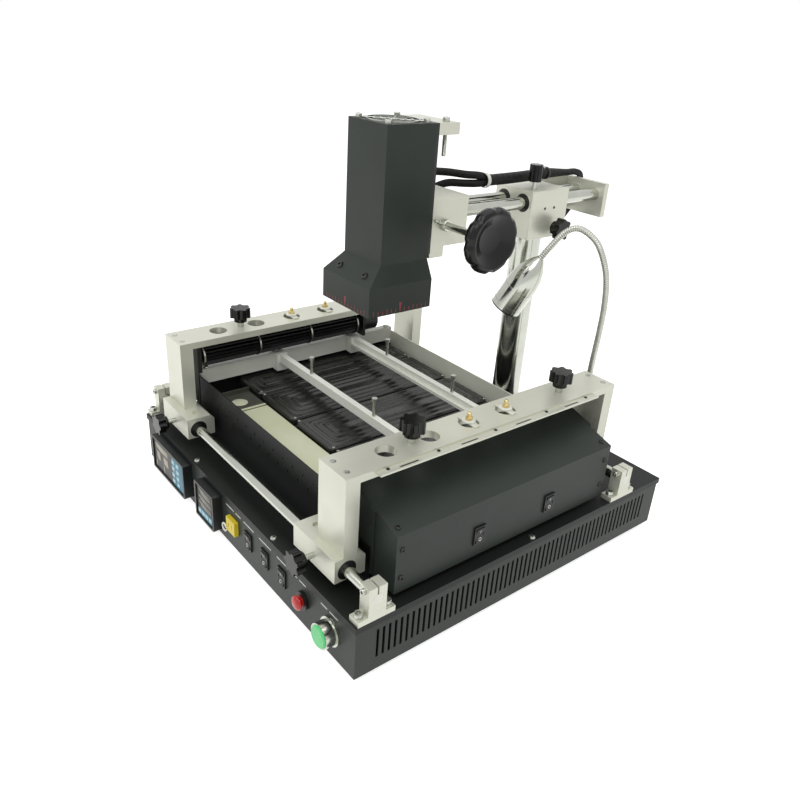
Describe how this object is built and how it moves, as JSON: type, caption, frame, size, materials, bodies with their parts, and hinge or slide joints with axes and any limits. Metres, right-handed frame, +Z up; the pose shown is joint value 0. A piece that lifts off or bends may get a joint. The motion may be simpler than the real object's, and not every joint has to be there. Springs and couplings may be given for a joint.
{
  "type": "infrared rework station",
  "caption": "Benchtop infrared rework station: base with heater tray, sliding carriages with cross-flow fans, board rails and a top heater on a swivelling, sliding arm.",
  "frame": {"origin": "middle of the overall box on the floor under the rubber feet", "axes": "X to the operator's right, Y from the front panel to the back, Z up"},
  "size_m": [0.482, 0.59, 0.468],
  "materials": {
    "powder_coat": "satin",
    "pale_anodised": "satin",
    "black_plastic": "matte",
    "black_metal": "satin",
    "rubber": "matte",
    "grey_plastic": "satin",
    "yellow_plastic": "gloss",
    "red_plastic": "gloss",
    "green_plastic": "gloss",
    "bare_aluminium": "satin",
    "liner_sheet": "satin",
    "ceramic": "satin",
    "polished_steel": "polished",
    "satin_steel": "satin",
    "circuit": "matte",
    "lens": "polished"
  },
  "bodies": {
    "base": {"base_shell": "powder_coat", "top_cover": "powder_coat", "rubber_feet": "rubber", "power_unit": "circuit", "large_controller": "grey_plastic", "small_controller": "grey_plastic", "thermocouple_socket": "yellow_plastic", "panel_bezels": "black_plastic", "heater_tray": "powder_coat", "tray_liner": "liner_sheet", "side_bars": "bare_aluminium", "heater_plates": "ceramic", "guide_shafts": "polished_steel", "shaft_supports": "bare_aluminium", "lamp_neck": "polished_steel", "lamp_head": "satin_steel", "lamp_lens": "lens", "column": "polished_steel"},
    "rocker_1": {"panel_rocker_1": "black_plastic"},
    "rocker_2": {"panel_rocker_2": "black_plastic"},
    "rocker_3": {"panel_rocker_3": "black_plastic"},
    "red_push": {"red_button": "red_plastic"},
    "green_push": {"green_button": "green_plastic"},
    "rail_front": {"front_rail": "bare_aluminium"},
    "rail_rear": {"rear_rail": "bare_aluminium"},
    "left_carriage": {"left_blocks": "pale_anodised", "left_posts": "pale_anodised", "left_beam": "pale_anodised", "left_fan_casing": "black_metal", "left_fan_motor": "black_metal"},
    "left_fan": {"left_fan_rotor": "black_plastic"},
    "left_star_front": {"left_knob_front": "black_plastic"},
    "left_star_rear": {"left_knob_rear": "black_plastic"},
    "left_lock": {"left_lock_knob": "black_plastic"},
    "right_carriage": {"right_blocks": "pale_anodised", "right_posts": "pale_anodised", "right_beam": "pale_anodised", "right_fan_housing": "powder_coat", "fan_switch_bezels": "black_plastic", "right_fan_motor": "black_metal"},
    "right_fan": {"right_fan_rotor": "black_plastic"},
    "right_star_front": {"right_knob_front": "black_plastic"},
    "right_star_rear": {"right_knob_rear": "black_plastic"},
    "right_lock": {"right_lock_knob": "black_plastic"},
    "switch_front": {"fan_switch_front": "black_plastic"},
    "switch_rear": {"fan_switch_rear": "black_plastic"},
    "arm": {"arm_block": "pale_anodised"},
    "column_lock": {"column_lock_knob": "black_plastic"},
    "arm_lock": {"arm_lock_knob": "black_plastic"},
    "slide_arm": {"arm_shafts": "polished_steel", "arm_end_plate": "pale_anodised", "slide_housing": "pale_anodised", "head_cable": "rubber"},
    "wheel": {"handwheel": "black_plastic"},
    "head": {"head_housing": "powder_coat", "head_back_plate": "black_metal", "head_guide": "satin_steel", "head_fan_frame": "black_plastic", "top_heater": "ceramic"},
    "head_fan": {"head_fan_rotor": "black_plastic"}
  },
  "joints": [
    {"name": "rocker_1_tip", "type": "hinge", "parent": "base", "child": "rocker_1", "pos_m": [0.038, -0.278, 0.04], "axis": [1, 0, 0], "range_deg": [-8, 8]},
    {"name": "rocker_2_tip", "type": "hinge", "parent": "base", "child": "rocker_2", "pos_m": [0.0744, -0.278, 0.04], "axis": [1, 0, 0], "range_deg": [-8, 8]},
    {"name": "rocker_3_tip", "type": "hinge", "parent": "base", "child": "rocker_3", "pos_m": [0.11, -0.278, 0.04], "axis": [1, 0, 0], "range_deg": [-8, 8]},
    {"name": "red_press", "type": "slide", "parent": "base", "child": "red_push", "axis": [0, 1, 0], "range_m": [0, 0.003], "stiffness_N_per_m": 400, "springref_m": -0.001},
    {"name": "green_press", "type": "slide", "parent": "base", "child": "green_push", "axis": [0, 1, 0], "range_m": [0, 0.005], "stiffness_N_per_m": 400, "springref_m": -0.001},
    {"name": "front_rail_slide", "type": "slide", "parent": "base", "child": "rail_front", "axis": [0, 1, 0], "range_m": [-0.06, 0.04]},
    {"name": "rear_rail_slide", "type": "slide", "parent": "base", "child": "rail_rear", "axis": [0, 1, 0], "range_m": [-0.04, 0.05]},
    {"name": "left_slide", "type": "slide", "parent": "base", "child": "left_carriage", "axis": [1, 0, 0], "range_m": [-0.025, 0.055]},
    {"name": "right_slide", "type": "slide", "parent": "base", "child": "right_carriage", "axis": [1, 0, 0], "range_m": [-0.004, 0.034]},
    {"name": "left_fan_spin", "type": "hinge", "parent": "left_carriage", "child": "left_fan", "pos_m": [-0.179, -0.11, 0.169], "axis": [0, 1, 0], "continuous": true},
    {"name": "right_fan_spin", "type": "hinge", "parent": "right_carriage", "child": "right_fan", "pos_m": [0.2085, -0.09, 0.111], "axis": [0, 1, 0], "continuous": true},
    {"name": "left_star_front_turn", "type": "hinge", "parent": "left_carriage", "child": "left_star_front", "pos_m": [-0.179, -0.169, 0.196], "axis": [0, 0, 1], "range_deg": [-180, 180]},
    {"name": "right_star_front_turn", "type": "hinge", "parent": "right_carriage", "child": "right_star_front", "pos_m": [0.17, -0.169, 0.196], "axis": [0, 0, 1], "range_deg": [-180, 180]},
    {"name": "left_star_rear_turn", "type": "hinge", "parent": "left_carriage", "child": "left_star_rear", "pos_m": [-0.179, 0.044, 0.196], "axis": [0, 0, 1], "range_deg": [-180, 180]},
    {"name": "right_star_rear_turn", "type": "hinge", "parent": "right_carriage", "child": "right_star_rear", "pos_m": [0.17, 0.044, 0.196], "axis": [0, 0, 1], "range_deg": [-180, 180]},
    {"name": "left_lock_turn", "type": "hinge", "parent": "left_carriage", "child": "left_lock", "pos_m": [-0.1645, -0.27, 0.095], "axis": [0, 1, 0], "range_deg": [-180, 180]},
    {"name": "right_lock_turn", "type": "hinge", "parent": "right_carriage", "child": "right_lock", "pos_m": [0.1555, -0.27, 0.095], "axis": [0, 1, 0], "range_deg": [-180, 180]},
    {"name": "switch_front_tip", "type": "hinge", "parent": "right_carriage", "child": "switch_front", "pos_m": [0.229, -0.122, 0.104], "axis": [0, 1, 0], "range_deg": [-8, 8]},
    {"name": "switch_rear_tip", "type": "hinge", "parent": "right_carriage", "child": "switch_rear", "pos_m": [0.229, -0.019, 0.104], "axis": [0, 1, 0], "range_deg": [-8, 8]},
    {"name": "arm_swivel", "type": "hinge", "parent": "base", "child": "arm", "pos_m": [0, 0.147, 0.34], "axis": [0, 0, 1], "range_deg": [-40, 5]},
    {"name": "column_lock_turn", "type": "hinge", "parent": "arm", "child": "column_lock", "pos_m": [0.0315, 0.155, 0.339], "axis": [1, 0, 0], "range_deg": [-180, 180]},
    {"name": "arm_lock_turn", "type": "hinge", "parent": "arm", "child": "arm_lock", "pos_m": [0.02, 0.126, 0.384], "axis": [0, 0, 1], "range_deg": [-180, 180]},
    {"name": "arm_slide", "type": "slide", "parent": "arm", "child": "slide_arm", "axis": [0, 1, 0], "range_m": [-0.055, 0.08], "deforming": ["head_cable"]},
    {"name": "head_lift", "type": "slide", "parent": "slide_arm", "child": "head", "axis": [0, 0, 1], "range_m": [-0.032, 0.022], "deforming": ["head_cable"]},
    {"name": "wheel_turn", "type": "hinge", "parent": "slide_arm", "child": "wheel", "pos_m": [0, -0.02575, 0.36], "axis": [1, 0, 0], "range_deg": [-165, 235]},
    {"name": "head_fan_spin", "type": "hinge", "parent": "head", "child": "head_fan", "pos_m": [0, -0.08, 0.455], "axis": [0, 0, 1], "continuous": true}
  ],
  "couplings": [
    {"joint": "wheel_turn", "follows": "head_lift", "rad_per_m": -125}
  ]
}
